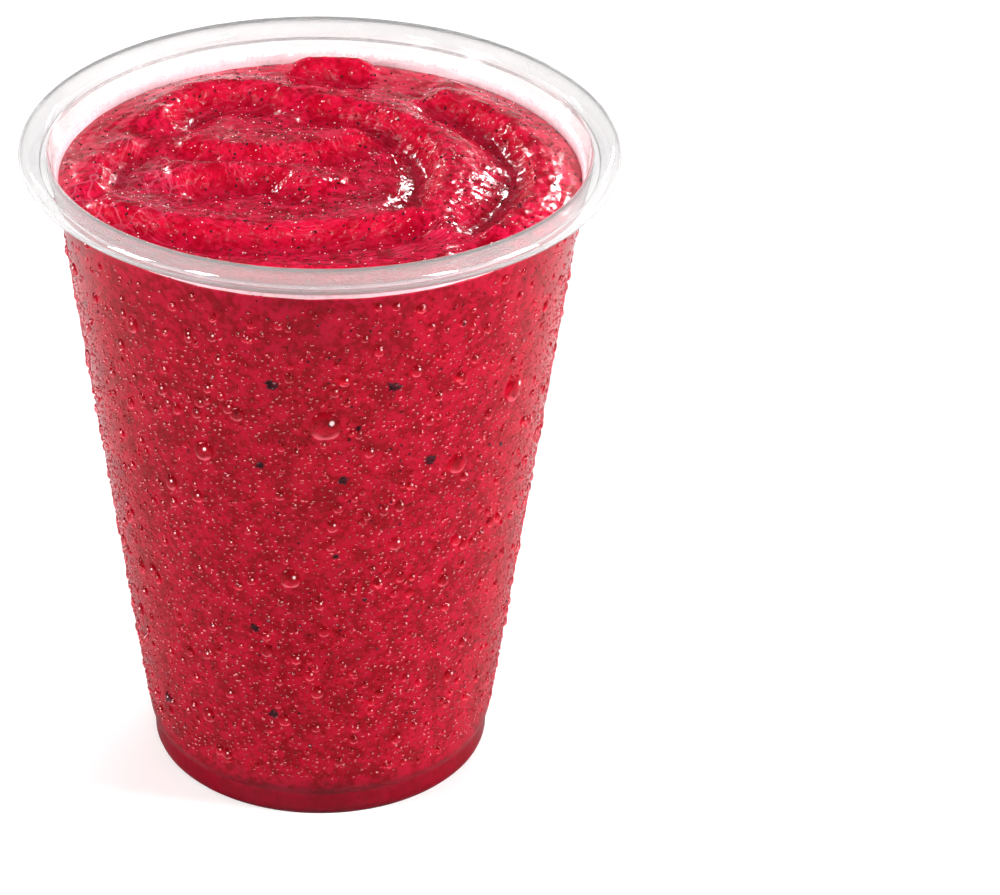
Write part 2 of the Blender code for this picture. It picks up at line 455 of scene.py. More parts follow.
@dataclass(frozen=True)
class PulpGrain:
    """The berry pulp's colours and fine relief, for every face of the drink."""

    cloud_scale: float = 300.0
    cloud_detail: float = 2.0
    cloud_roughness: float = 0.6
    cloud_share: float = 0.45
    grain_scale: float = 900.0
    grain_detail: float = 2.5
    grain_roughness: float = 0.65
    grain_share: float = 0.55
    mottle: Span = (0.41, 0.59)
    seed_cells: float = 620.0
    seedless: float = 0.72
    lump_cells: float = 520.0
    lump_edge: Span = (0.75, 0.1)
    lump_relief: float = 0.35
    grain_relief: float = 0.65
    wet: Span = (0.35, 0.65)

    def group(self) -> bpy.types.NodeTree:
        """Builds the shared node group.

        Returns:
            A group that puts out Color, Height and Wet for an object position.
        """
        board = GroupBoard(
            "berry pulp",
            {
                "Vector": ("NodeSocketVector", (0.0, 0.0, 0.0)),
                "Light": ("NodeSocketColor", (0.7, 0.07, 0.13, 1.0)),
                "Deep": ("NodeSocketColor", (0.4, 0.0, 0.02, 1.0)),
                "Seed": ("NodeSocketColor", (0.08, 0.0, 0.01, 1.0)),
                "Seed Size": ("NodeSocketFloat", 0.2),
            },
            {"Color": "NodeSocketColor", "Height": "NodeSocketFloat", "Wet": "NodeSocketFloat"},
        )
        given, result = board.source.outputs, board.sink.inputs
        at = given["Vector"]
        cloud = board.cloud(at, self.cloud_scale, self.cloud_detail, self.cloud_roughness)
        grain = board.cloud(at, self.grain_scale, self.grain_detail, self.grain_roughness)
        lumps = board.add("TexVoronoi", {"Vector": at, "Scale": self.lump_cells, "Randomness": 1.0})
        seeds = board.add("TexVoronoi", {"Vector": at, "Scale": self.seed_cells, "Randomness": 1.0})
        clouded = board.times(cloud, self.cloud_share)
        mottle = board.maths("ADD", clouded, board.times(grain, self.grain_share))
        colour = board.blend(board.ramp(mottle, *self.mottle), given["Deep"], given["Light"])
        chance = board.add("SeparateColor", {0: seeds.outputs["Color"]}).outputs[0]
        kept = board.maths("GREATER_THAN", chance, self.seedless)
        near = board.maths("LESS_THAN", seeds.outputs["Distance"], given["Seed Size"])
        lump = board.times(board.ramp(lumps.outputs["Distance"], *self.lump_edge), self.lump_relief)
        board.feed(result["Color"], board.blend(board.times(kept, near), colour, given["Seed"]))
        board.feed(result["Height"], board.maths("ADD", board.times(grain, self.grain_relief), lump))
        board.feed(result["Wet"], board.ramp(cloud, *self.wet))
        return board.tree


@dataclass(frozen=True)
class Wash:
    """A second colour laid over the pulp, as pale strands or as painted shade: the most of it that shows, and
    where it fades in.
    """

    colour: Colour
    share: float
    fade: Span = (0.0, 1.0)

    def over(self, board: NodeBoard, mask: bpy.types.NodeSocket, colour: object) -> bpy.types.NodeSocket:
        """Lays the wash over a colour where a mask says."""
        return board.blend(board.times(mask, self.share), colour, self.colour)


@dataclass(frozen=True)
class PulpFinish:
    """Wet fruit pulp: mottled crimson, strewn with seeds, under a thin wet film; the top has painted shade in
    its troughs and on the steep sides of its folds, the side has painted shade towards the cup's foot.
    """

    name: str
    light: Colour
    deep: Colour
    relief: float
    film: float
    strands: bool = False
    seed: Colour = (0.05, 0.0, 0.006)
    seed_size: float = 0.16
    roughness: Span = (0.12, 0.26)
    refraction: float = 1.37
    shine: float = 0.15
    film_roughness: float = 0.06
    film_refraction: float = 1.36
    # Painted shade: the steep sides of the folds are painted a deeper, purer red, as where they face the
    # camera they mirror less pale light.
    scarp: Wash = Wash((0.62, 0.001, 0.020), 0.5)
    strand: Wash = Wash((0.82, 0.14, 0.25), 0.36)
    # Painted shade: the top is painted darker the lower it lies, so the troughs between the folds look
    # shaded.
    trough_shade: Wash = Wash((0.28, 0.0, 0.010), 0.5, (108.9 * MM, 107.1 * MM))
    # Painted shade: the side is painted darker towards the cup's foot, where less light reaches it.
    foot: Wash = Wash((0.20, 0.0, 0.008), 0.75, (7.5 * MM, 3.0 * MM))
    flat_relief: float = 0.55
    scarp_relief: float = 1.4
    hair_draw: Place = (1.0, 1.0, 2.6)
    hair_scale: float = 0.5
    hair_bend: float = 0.9
    hair_width: float = 0.03
    hair_patch_scale: float = 0.16
    hair_patches: Span = (0.42, 0.6)
    web_centre: Place = (-0.032, -0.009, 0.1085)
    web_radius: float = 0.016
    web_core: float = 0.4
    web_waves: float = 220.0
    web_bend: float = 0.003
    web_cells: float = 260.0
    web_line: Span = (0.07, 0.015)

    def material(self, pulp: bpy.types.NodeTree) -> bpy.types.Material:
        """Builds the finish.

        Args:
            pulp: the shared pulp group.

        Returns:
            The material.
        """
        material, board = new_material(self.name)
        at = board.place()
        level = board.part(at, "Z")
        colours = {"Light": self.light, "Deep": self.deep, "Seed": self.seed}
        given = {"Vector": at, **colours, "Seed Size": self.seed_size}
        grain = board.add("Group", given, node_tree=pulp).outputs
        colour, height = grain["Color"], grain["Height"]
        if self.strands:
            scarp = board.stored("scarp", "Fac")
            strand = board.maths("MAXIMUM", self.hair(board), self.web(board, at))
            # Pale strands, laid over painted shade on the steep sides of the folds.
            colour = self.strand.over(board, strand, self.scarp.over(board, scarp, colour))
            # Painted shade, darker the lower the top lies.
            colour = self.trough_shade.over(board, board.ramp(level, *self.trough_shade.fade), colour)
            rough_share = board.maths("ADD", self.flat_relief, board.times(scarp, self.scarp_relief))
            height = board.times(height, rough_share)
        else:
            # Painted shade, darker towards the cup's foot.
            colour = self.foot.over(board, board.ramp(level, *self.foot.fade), colour)
        least, most = self.roughness
        rough = board.add("MapRange", {"Value": grain["Wet"], "To Min": least, "To Max": most})
        shader = board.add(
            "BsdfPrincipled",
            {
                "Base Color": colour,
                "Roughness": rough.outputs["Result"],
                "IOR": self.refraction,
                "Specular IOR Level": self.shine,
                "Coat Weight": self.film,
                "Coat Roughness": self.film_roughness,
                "Coat IOR": self.film_refraction,
                "Normal": board.bump(height, self.relief),
            },
        )
        board.surface(shader)
        return material

    def hair(self, board: NodeBoard) -> bpy.types.NodeSocket:
        """A mask of hair-thin strands of pulp drawn out along the stir.

        Args:
            board: the material's nodes.

        Returns:
            The mask.
        """
        flow = board.stored("flow", "Vector")
        drawn = board.add("Mapping", {"Vector": flow, "Scale": self.hair_draw}).outputs["Vector"]
        strands = board.cloud(drawn, self.hair_scale, bend=self.hair_bend)
        ridge = board.maths("ABSOLUTE", board.maths("SUBTRACT", strands, 0.5))
        patches = board.ramp(board.cloud(flow, self.hair_patch_scale), *self.hair_patches)
        return board.times(board.ramp(ridge, self.hair_width, 0.0), patches)

    def web(self, board: NodeBoard, at: bpy.types.NodeSocket) -> bpy.types.NodeSocket:
        """A mask of the wet web that stretches over the left of the top.

        Args:
            board: the material's nodes.
            at: the place on the drink.

        Returns:
            The mask.
        """
        bent = board.add("TexNoise", {"Vector": at, "Scale": self.web_waves, "Detail": 2.0}).outputs["Color"]
        moved = board.add("VectorMath", {0: bent, "Scale": self.web_bend}, operation="SCALE").outputs[0]
        place = board.add("VectorMath", {0: at, 1: moved}, operation="ADD").outputs[0]
        inputs = {"Vector": place, "Scale": self.web_cells}
        cells = board.add("TexVoronoi", inputs, feature="DISTANCE_TO_EDGE")
        line = board.ramp(cells.outputs["Distance"], *self.web_line)
        reach = board.apart(at, self.web_centre)
        return board.times(line, board.ramp(reach, self.web_radius, self.web_radius * self.web_core))


@dataclass(frozen=True)
class ClearFinish:
    """A clear body, plastic or water, whose shadow lets lamps through."""

    name: str
    tint: Colour
    refraction: float
    roughness: float
    shadow: Colour
    clearness: float = 1.0
    relief: float = 0.0
    relief_scale: float = 60.0

    def material(self) -> bpy.types.Material:
        """Builds the finish.

        Returns:
            The material.
        """
        material, board = new_material(self.name)
        shader = board.add(
            "BsdfPrincipled",
            {
                "Roughness": self.roughness,
                "IOR": self.refraction,
                "Transmission Weight": self.clearness,
                "Metallic": 0.0,
            },
        )
        self.colour(board, shader)
        if self.relief > 0.0:
            waves = board.cloud(board.place(), self.relief_scale, detail=1.0)
            board.feed(shader.inputs["Normal"], board.bump(waves, self.relief))
        through = board.add("BsdfTransparent", {"Color": self.shadow})
        shaded = board.add("LightPath").outputs["Is Shadow Ray"]
        board.surface(board.add("MixShader", {0: shaded, 1: shader.outputs[0], 2: through.outputs[0]}))
        return material

    def colour(self, board: NodeBoard, shader: bpy.types.Node) -> None:
        """Sets the tint, which is the same all over."""
        board.feed(shader.inputs["Base Color"], self.tint)


@dataclass(frozen=True)
class DropFinish(ClearFinish):
    """Cold water, with painted light and shade: its upper end is painted deeper, a pale crescent glows at its
    lower end, and glints glow near its top.

    The fades and the painted glint spots are places within a drop of unit half width.
    """

    # Painted shade: a drop is tinted deeper towards its upper end.
    deep: Colour = (0.52, 0.12, 0.17)
    upper_shade_fade: Span = (-0.2, 0.7)
    # Painted light: a pale crescent that glows at a drop's lower end, where it would gather light.
    painted_caustic_colour: Colour = (0.75, 0.20, 0.28)
    painted_caustic_glow: float = 0.4
    low_fade: Span = (-0.15, -0.65)
    inner_fade: Span = (0.42, 0.72)
    outer_fade: Span = (1.0, 0.88)
    # Painted highlights: small spots that glow where a drop would mirror a lamp; shine is how strongly they
    # glow.
    glint_spots: tuple[Place, ...] = ((0.34, 0.42, 0.0),)
    glint_radius: float = 0.19
    glint_core: float = 0.5
    shine: float = 1.4
    glint_colour: Colour = (1.0, 0.86, 0.88)
    patch_scale: float = 420.0
    patch_fade: Span = (0.38, 0.58)
    side_fade: Span = (-0.030, 0.026)

    def colour(self, board: NodeBoard, shader: bpy.types.Node) -> None:
        """Paints shade, a glowing crescent and glowing glints into the drop by the place within it.

        Args:
            board: the material's nodes.
            shader: the shader whose sockets are fed.
        """
        within = board.stored("within", "Vector")
        up = board.part(within, "Y")
        out = board.add("VectorMath", {0: within, 1: (1.0, 1.0, 0.0)}, operation="MULTIPLY").outputs[0]
        radius = board.add("VectorMath", {0: out}, operation="LENGTH").outputs["Value"]
        # Painted light: a pale crescent glows at the drop's lower end, and glints glow at its spots.
        painted_crescent = board.times(board.ramp(radius, *self.inner_fade), board.ramp(up, *self.low_fade))
        painted_crescent = board.times(painted_crescent, board.ramp(radius, *self.outer_fade))
        crescent_light = board.blend(board.times(painted_crescent, self.painted_caustic_glow / self.shine), (0.0, 0.0, 0.0), self.painted_caustic_colour)
        light = board.blend(board.times(self.glint_mask(board, out), self.glint_strength(board)), crescent_light, self.glint_colour)
        # Painted shade: the tint deepens towards the drop's upper end.
        tint = board.blend(board.ramp(up, *self.upper_shade_fade), self.tint, self.deep)
        board.feed(shader.inputs["Base Color"], tint)
        board.feed(shader.inputs["Emission Color"], light)
        board.feed(shader.inputs["Emission Strength"], self.shine)

    def glint_mask(self, board: NodeBoard, out: bpy.types.NodeSocket) -> object:
        """A mask of the painted glints: small spots that glow where a drop would mirror a lamp.

        Args:
            board: the material's nodes.
            out: the place across the drop.

        Returns:
            The mask.
        """
        mask: object = 0.0
        for spot in self.glint_spots:
            near = board.ramp(board.apart(out, spot), self.glint_radius, self.glint_radius * self.glint_core)
            mask = board.maths("MAXIMUM", mask, near)
        return mask

    def glint_strength(self, board: NodeBoard) -> bpy.types.NodeSocket:
        """How strongly a drop's painted glints glow where it hangs: in patches, and more at the cup's sides.

        Args:
            board: the material's nodes.

        Returns:
            The strength, from 0 to 1.
        """
        at = board.place()
        patch = board.ramp(board.cloud(at, self.patch_scale, detail=1.0), *self.patch_fade)
        return board.times(patch, board.ramp(board.maths("ABSOLUTE", board.part(at, "X")), *self.side_fade))


@dataclass(frozen=True)
class SkinFinish:
    """Dark berry skin, seeds and specks, or pale bubbles whose white is a painted highlight: two colours in
    fine patches.
    """

    name: str
    dark: Colour
    red: Colour
    roughness: float = 0.4
    shine: float = 0.08
    patch_scale: float = 900.0
    patch_fade: Span = (0.35, 0.7)

    def material(self) -> bpy.types.Material:
        """Builds the finish.

        Returns:
            The material.
        """
        material, board = new_material(self.name)
        patch = board.ramp(board.cloud(board.place(), self.patch_scale), *self.patch_fade)
        inputs = {
            "Base Color": board.blend(patch, self.dark, self.red),
            "Roughness": self.roughness,
            "Specular IOR Level": self.shine,
        }
        board.surface(board.add("BsdfPrincipled", inputs))
        return material


@dataclass(frozen=True)
class Fold:
    """A stirred fold: an arc in the drink's surface, in millimetres and degrees."""

    x: float
    y: float
    radius: float
    start: float
    end: float
    height: float
    steep: float
    soft: float
    side: FallSide

    def course(self, x: np.ndarray, y: np.ndarray, fade: float) -> tuple[np.ndarray, np.ndarray]:
        """How much of the fold there is at each place, and how far down its steep side that lies.

        Args:
            x: places across, in millimetres.
            y: places away from the front, in millimetres.
            fade: length over which the fold's ends ease out.

        Returns:
            The fold's presence, and the distance from its crest in steep widths, negative behind it.
        """
        away = (np.hypot(x - self.x, y - self.y) - self.radius) * self.side.value
        middle = (self.start + self.end) / 2
        turn = (np.degrees(np.arctan2(y - self.y, x - self.x)) - middle + 180) % 360 - 180
        spare = np.radians((self.end - self.start) / 2 - np.abs(turn)) * self.radius
        share = np.clip(spare / fade, 0.0, 1.0)
        return share * share * (3 - 2 * share), away / np.where(away < 0, self.soft, self.steep)

    def rise(self, x: np.ndarray, y: np.ndarray, fade: float, hollow: float) -> np.ndarray:
        """Height in millimetres that the fold adds.

        Args:
            x: places across, in millimetres.
            y: places away from the front, in millimetres.
            fade: length over which the fold's ends ease out.
            hollow: its foot's depth as a share of its height.

        Returns:
            The heights.
        """
        presence, away = self.course(x, y, fade)
        foot = np.exp(-((away - FOLD_FOOT) ** 2)) * (away >= 0)
        return presence * self.height * (np.exp(-(away**2)) - hollow * foot)

    def scarp(self, x: np.ndarray, y: np.ndarray, fade: float) -> np.ndarray:
        """How far each place lies on the fold's steep side, from 0 to 1."""
        presence, away = self.course(x, y, fade)
        return presence * np.exp(-(((away - SCARP_MIDDLE) / SCARP_WIDTH) ** 2))


@dataclass(frozen=True)
class Knob:
    """A small lump of pulp that stands out of a fold, in millimetres."""

    x: float
    y: float
    radius: float
    height: float

    def rise(self, x: np.ndarray, y: np.ndarray) -> np.ndarray:
        """Height in millimetres that the knob adds."""
        reach = np.hypot(x - self.x, y - self.y) / self.radius
        return self.height * np.exp(-(reach**3))


FOLDS = (
    Fold(-6.0, -1.0, 27.0, -46, 88, 2.05, 2.5, 6.0, FallSide.INNER),
    Fold(-14.0, 18.0, 12.8, 26, 198, 2.10, 2.6, 4.5, FallSide.INNER),
    Fold(-10.0, 34.0, 26.8, -124, -42, 1.55, 2.2, 6.5, FallSide.OUTER),
    Fold(-13.0, -17.0, 17.0, 28, 142, 1.90, 2.6, 5.0, FallSide.INNER),
    Fold(-8.0, 28.0, 49.0, -128, -60, 1.75, 2.4, 5.5, FallSide.OUTER),
    Fold(3.0, -1.0, 33.0, -48, 66, 1.95, 2.5, 5.0, FallSide.INNER),
    Fold(1.0, 58.0, 92.5, -103, -76, 1.10, 1.8, 3.5, FallSide.OUTER),
    Fold(0.0, 0.0, 39.8, 74, 100, 2.45, 2.4, 3.0, FallSide.INNER),
    Fold(-20.0, -3.0, 17.0, 118, 205, 1.20, 2.0, 4.0, FallSide.INNER),
)


KNOBS = (
    Knob(-5.4, -6.4, 2.4, 1.15),
    Knob(-9.6, -7.0, 1.6, 0.5),
    Knob(11.8, 16.6, 3.0, 0.8),
    Knob(10.6, 6.2, 2.0, 0.7),
    Knob(-16.6, -13.2, 2.2, 0.7),
    Knob(-23.6, 0.4, 2.4, 0.7),
    Knob(29.3, 1.4, 2.8, 0.6),
    Knob(4.4, 36.6, 2.2, 0.5),
    Knob(22.0, 33.0, 2.4, 0.6),
    Knob(19.0, -27.5, 2.6, 0.6),
)


@dataclass
class StirredSurface:
    """The drink's top: folds, knobs, flow lines and lumps over a level that meets the wall."""

    level: float = 107.7 * MM
    crown: float = 0.3 * MM
    crown_power: float = 30.0
    fold_fade: float = 5.0
    hollow: float = 0.7
    swirl_x: float = -5.0
    swirl_y: float = 1.0
    swirl_pull: float = 7.0
    ripple: float = 0.09
    lump: float = 0.17
    scarp_lump: float = 0.58
    ripple_scale: float = 0.5
    ripple_stretch: float = 1.6
    lump_start: Place = (3.0, 7.0, 1.0)
    lump_scale: float = 0.42
    lump_share: float = 0.6
    cell_scale: float = 0.8
    cell_share: float = 0.5
    highest: float = 110.6 * MM

    def flow(self, x: float, y: float) -> Vector:
        """Where a place lies in the stir, as a vector drawn out along the swirl, in millimetres.

        Args:
            x: place across.
            y: place away from the front.

        Returns:
            The vector.
        """
        across, away = x - self.swirl_x, y - self.swirl_y
        reach = math.hypot(across, away) + 1e-6
        pull = self.swirl_pull
        return Vector((across / reach * pull, away / reach * pull, reach))

    def scarps(self, x: np.ndarray, y: np.ndarray) -> np.ndarray:
        """How far places, in metres, lie on the steep side of any fold, from 0 to 1."""
        shares = [fold.scarp(x / MM, y / MM, self.fold_fade) for fold in FOLDS]
        return np.max(shares, axis=0)

    def heights(self, x: np.ndarray, y: np.ndarray, wall: float) -> np.ndarray:
        """Heights of the surface.

        Args:
            x: places across, in metres.
            y: places away from the front, in metres.
            wall: radius at which the drink meets the cup.

        Returns:
            The height of each place above the table.
        """
        across, away = x / MM, y / MM
        inward = 1 - np.clip(np.hypot(x, y) / wall, 0, 1) ** self.crown_power
        rise = sum(fold.rise(across, away, self.fold_fade, self.hollow) for fold in FOLDS)
        rise += sum(knob.rise(across, away) for knob in KNOBS)
        scarps = self.scarps(x, y)
        rise += np.array([self.fine_rise(*place) for place in zip(across, away, scarps)])
        return np.minimum(self.level + inward * (self.crown + rise * MM), self.highest)

    def fine_rise(self, x: float, y: float, scarp: float) -> float:
        """Flow lines and pulp lumps at one place, in millimetres.

        Args:
            x: place across.
            y: place away from the front.
            scarp: how far it lies on a steep side.

        Returns:
            The height that they add.
        """
        stir = self.flow(x, y)
        place = Vector((x, y, 0.0))
        drawn = Vector((stir.x, stir.y, stir.z * self.ripple_stretch))
        ripple = 1 - 2 * abs(noise.noise(drawn * self.ripple_scale))
        lump = noise.noise(place * self.lump_scale + Vector(self.lump_start))
        cell = noise.noise(place * self.cell_scale) + 0.5 * noise.noise(place * self.cell_scale * 2)
        lumps = self.lump_share * lump + self.cell_share * cell
        return self.ripple * ripple + (self.lump + self.scarp_lump * scarp) * lumps


@dataclass
class Drink:
    """The smoothie: the cup's inside, reaching just into the wall, under the stirred surface."""

    cup: CupSizes
    stir: StirredSurface = field(default_factory=StirredSurface)
    reach: float = 0.12 * MM
    segments: int = 420
    top_rings: int = 150
    shore_wave: float = 0.25 * MM
    shore_turns: float = 9.0
    shore_width: float = 0.05 * MM
    level_slack: float = 0.01 * MM
    top: PulpFinish = PulpFinish(
        "smoothie_top", (0.62, 0.005, 0.046), (0.27, 0.0005, 0.009), relief=0.30 * MM, film=0.45, strands=True
    )
    # Painted shade: the side's colours are a darker copy of the top's, so the side looks dimmer than the top.
    side: PulpFinish = PulpFinish(
        "smoothie_side", (0.44, 0.0022, 0.026), (0.24, 0.0006, 0.008), relief=0.12 * MM, film=0.0
    )

    def section(self) -> Section:
        """The drink's outline from the base's centre up the wall and in over the top.

        Returns:
            The outline's points.
        """
        side = self.cup.inner_line(self.reach, self.cup.contact_height)
        wall, level = side[-1]
        shares = [1 - ring / self.top_rings for ring in range(1, self.top_rings + 1)]
        return side + [Vector((wall * share, level)) for share in shares]

    def build(self) -> bpy.types.Mesh:
        """Turns the outline and stirs its top.

        Returns:
            The closed mesh, top faces in the first material slot and the rest in the second.
        """
        level = self.cup.contact_height
        section = self.section()
        wall = max(point.x for point in section)
        mesh = finished_mesh(turned_builder(section, self.segments), "smoothie_body")
        count = len(mesh.vertices)
        places = np.empty(count * 3)
        mesh.vertices.foreach_get("co", places)
        places = places.reshape(-1, 3)
        top = places[:, 2] > level - self.level_slack
        places[top, 2] = self.stir.heights(places[top, 0], places[top, 1], wall)
        shore = top & (np.hypot(places[:, 0], places[:, 1]) > wall - self.shore_width)
        for index in np.flatnonzero(shore):
            x, y = places[index, :2] / wall * self.shore_turns
            places[index, 2] += self.shore_wave * noise.noise(Vector((x, y, 2.0)))
        mesh.vertices.foreach_set("co", places.ravel())
        flow = mesh.attributes.new("flow", "FLOAT_VECTOR", "POINT")
        vectors = np.array([self.stir.flow(x / MM, y / MM) for x, y in places[:, :2]], np.float32)
        flow.data.foreach_set("vector", vectors.ravel())
        scarp = mesh.attributes.new("scarp", "FLOAT", "POINT")
        scarp.data.foreach_set("value", self.stir.scarps(*places[:, :2].T).astype(np.float32))
        for face in mesh.polygons:
            face.material_index = 0 if top[list(face.vertices)].all() else 1
        mesh.update()
        return mesh

    def dress(self, pulp: bpy.types.NodeTree) -> bpy.types.Object:
        """Builds the piece that stands for the drink's solid.

        Args:
            pulp: the shared pulp group.

        Returns:
            The piece.
        """
        materials = [self.top.material(pulp), self.side.material(pulp)]
        piece = place_piece(self.build(), materials)
        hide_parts("smoothie")
        return piece


@dataclass
class ClearCup:
    """The cup: one thin sheet turned about its axis, with a hollow rolled rim."""

    cup: CupSizes
    segments: int = 256
    curl_steps: int = 36
    round_steps: int = 5
    curl_from: float = 110.8 * MM
    finish: ClearFinish = ClearFinish(
        "clear_plastic", (0.985, 0.99, 0.99), refraction=1.5, roughness=0.05, shadow=(0.96, 0.96, 0.96),
        relief=0.02 * MM, relief_scale=140.0,
    )
    curl_finish: ClearFinish = ClearFinish(
        "rolled_plastic", (0.85, 0.84, 0.84), refraction=1.5, roughness=0.04, shadow=(0.9, 0.9, 0.9),
        clearness=0.885, relief=0.03 * MM, relief_scale=90.0,
    )

    def build(self) -> bpy.types.Mesh:
        """Turns both faces of the sheet into one closed mesh.

        Returns:
            The mesh, its rolled rim in the second material slot.
        """
        middle = self.cup.middle_line(self.curl_steps, self.round_steps)
        half = self.cup.sheet / 2
        section = shifted_line(middle, half) + shifted_line(middle, -half)[::-1]
        mesh = finished_mesh(turned_builder(section, self.segments), "cup_shell")
        for face in mesh.polygons:
            face.material_index = int(face.center.z > self.curl_from)
        return mesh

    def dress(self) -> bpy.types.Object:
        """Builds the piece that stands for the cup's solid.

        Returns:
            The piece.
        """
        materials = [self.finish.material(), self.curl_finish.material()]
        piece = place_piece(self.build(), materials)
        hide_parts("cup")
        return piece


@dataclass(frozen=True)
class SmearFinish:
    """A thin milky film of pulp that thins out upwards."""

    name: str
    colour: Colour
    low: float
    high: float
    cover: float = 0.8
    roughness: float = 0.4
    patch_scale: float = 700.0
    patch_detail: float = 5.0
    patch_roughness: float = 0.7

    def material(self) -> bpy.types.Material:
        """Builds the finish.

        Returns:
            The material.
        """
        material, board = new_material(self.name)
        at = board.place()
        patch = board.cloud(at, self.patch_scale, self.patch_detail, self.patch_roughness)
        lifted = board.times(board.maths("SUBTRACT", patch, 0.5), self.high - self.low)
        cover = board.ramp(board.maths("SUBTRACT", board.part(at, "Z"), lifted), self.high, self.low)
        inputs = {
            "Base Color": self.colour,
            "Roughness": self.roughness,
            "Alpha": board.times(cover, self.cover),
        }
        board.surface(board.add("BsdfPrincipled", inputs))
        return material


@dataclass
class PulpSmear:
    """The milky band that the drink has left on the clear wall just above its level."""

    cup: CupSizes
    foot: float = 107.3 * MM
    head: float = 110.2 * MM
    thickness: float = 0.08 * MM
    gap: float = 0.03 * MM
    segments: int = 256
    rows: int = 8
    finish: SmearFinish = SmearFinish("milky_smear", (0.93, 0.66, 0.71), 107.6 * MM, 110.4 * MM)

    def wall_at(self, height: float) -> float:
        """Inner radius of the cup's neck at a height."""
        return self.cup.inner_line(0.0, height)[-1].x

    def build(self) -> bpy.types.Mesh:
        """Turns the film's thin closed section round the axis.

        Returns:
            The film's mesh.
        """
        heights = [self.foot + (self.head - self.foot) * row / self.rows for row in range(self.rows + 1)]
        outer = [Vector((self.wall_at(height) - self.gap, height)) for height in heights]
        inner = [point - Vector((self.thickness, 0.0)) for point in outer]
        ring = outer + inner[::-1]
        builder = turned_builder(ring + ring[:1], self.segments)
        return finished_mesh(builder, "pulp_smear")

    def dress(self) -> bpy.types.Object:
        """Builds the smear."""
        return place_piece(self.build(), [self.finish.material()])


@dataclass(frozen=True)
class Copy:
    """Where a copy of a template stands, its sizes, and how deep what is below its zero goes."""

    place: Matrix
    size: Vector
    root_depth: float | None = None


def joined_copies(name: str, templates: list[bpy.types.Mesh], places: list[Copy]) -> bpy.types.Mesh:
    """One mesh of many copies, each taking the next template in turn.

    Args:
        name: the new mesh's name.
        templates: the shapes to copy, of unit half width.
        places: where the copies stand.

    Returns:
        The joined mesh.
    """
    points: list[np.ndarray] = []
    local: list[np.ndarray] = []
    faces: list[tuple[int, ...]] = []
    shapes = []
    for template in templates:
        corners = np.array([vert.co[:] for vert in template.vertices])
        shapes.append((corners, [tuple(face.vertices) for face in template.polygons]))
    start = 0
    for index, copy in enumerate(places):
        corners, polygons = shapes[index % len(shapes)]
        sized = corners * np.array(copy.size)
        if copy.root_depth is not None:
            sized[corners[:, 2] < 0, 2] = -copy.root_depth
        local.append(corners)
        turned = np.array(copy.place)
        points.append(sized @ turned[:3, :3].T + turned[:3, 3])
        faces.extend(tuple(start + corner for corner in face) for face in polygons)
        start += len(corners)
    mesh = bpy.data.meshes.new(name)
    mesh.from_pydata(np.concatenate(points).tolist(), [], faces)
    within = mesh.attributes.new("within", "FLOAT_VECTOR", "POINT")
    within.data.foreach_set("vector", np.concatenate(local).astype(np.float32).ravel())
    mesh.shade_smooth()
    for template in templates:
        bpy.data.meshes.remove(template)
    return mesh


@dataclass(frozen=True)
class Bead:
    """One bead of water: place on the wall in degrees and millimetres, sizes in millimetres."""

    turn: float
    height: float
    half_width: float
    half_length: float
    swell: float


LARGE_BEADS = (
    Bead(1.2, 83.2, 2.6, 2.8, 0.95),
    Bead(51.3, 81.7, 1.9, 2.6, 0.9),
    Bead(34.9, 71.6, 1.8, 2.0, 0.8),
    Bead(-28.8, 75.5, 1.7, 1.9, 0.8),
    Bead(-7.8, 52.0, 1.7, 1.9, 0.75),
    Bead(-45.9, 95.5, 1.2, 1.6, 0.6),
    Bead(19.2, 58.3, 1.2, 1.4, 0.6),
    Bead(-1.1, 28.0, 1.2, 1.3, 0.6),
    Bead(148.0, 88.0, 1.9, 2.3, 0.85),
    Bead(-118.0, 64.0, 1.8, 2.2, 0.8),
    Bead(-19.4, 84.3, 1.2, 1.4, 0.55),
    Bead(-39.9, 66.5, 1.2, 1.5, 0.55),
    Bead(-32.0, 65.6, 1.1, 1.3, 0.5),
    Bead(34.9, 47.6, 1.1, 1.3, 0.5),
    Bead(37.7, 55.4, 1.1, 1.3, 0.5),
    Bead(24.2, 15.7, 1.0, 1.2, 0.5),
    Bead(-10.9, 21.4, 1.1, 1.3, 0.5),
    Bead(15.7, 65.5, 0.9, 1.1, 0.45),
)


BEAD_FACETS = {BeadKind.LARGE: (28, 16), BeadKind.MEDIUM: (10, 6), BeadKind.FINE: (6, 4)}


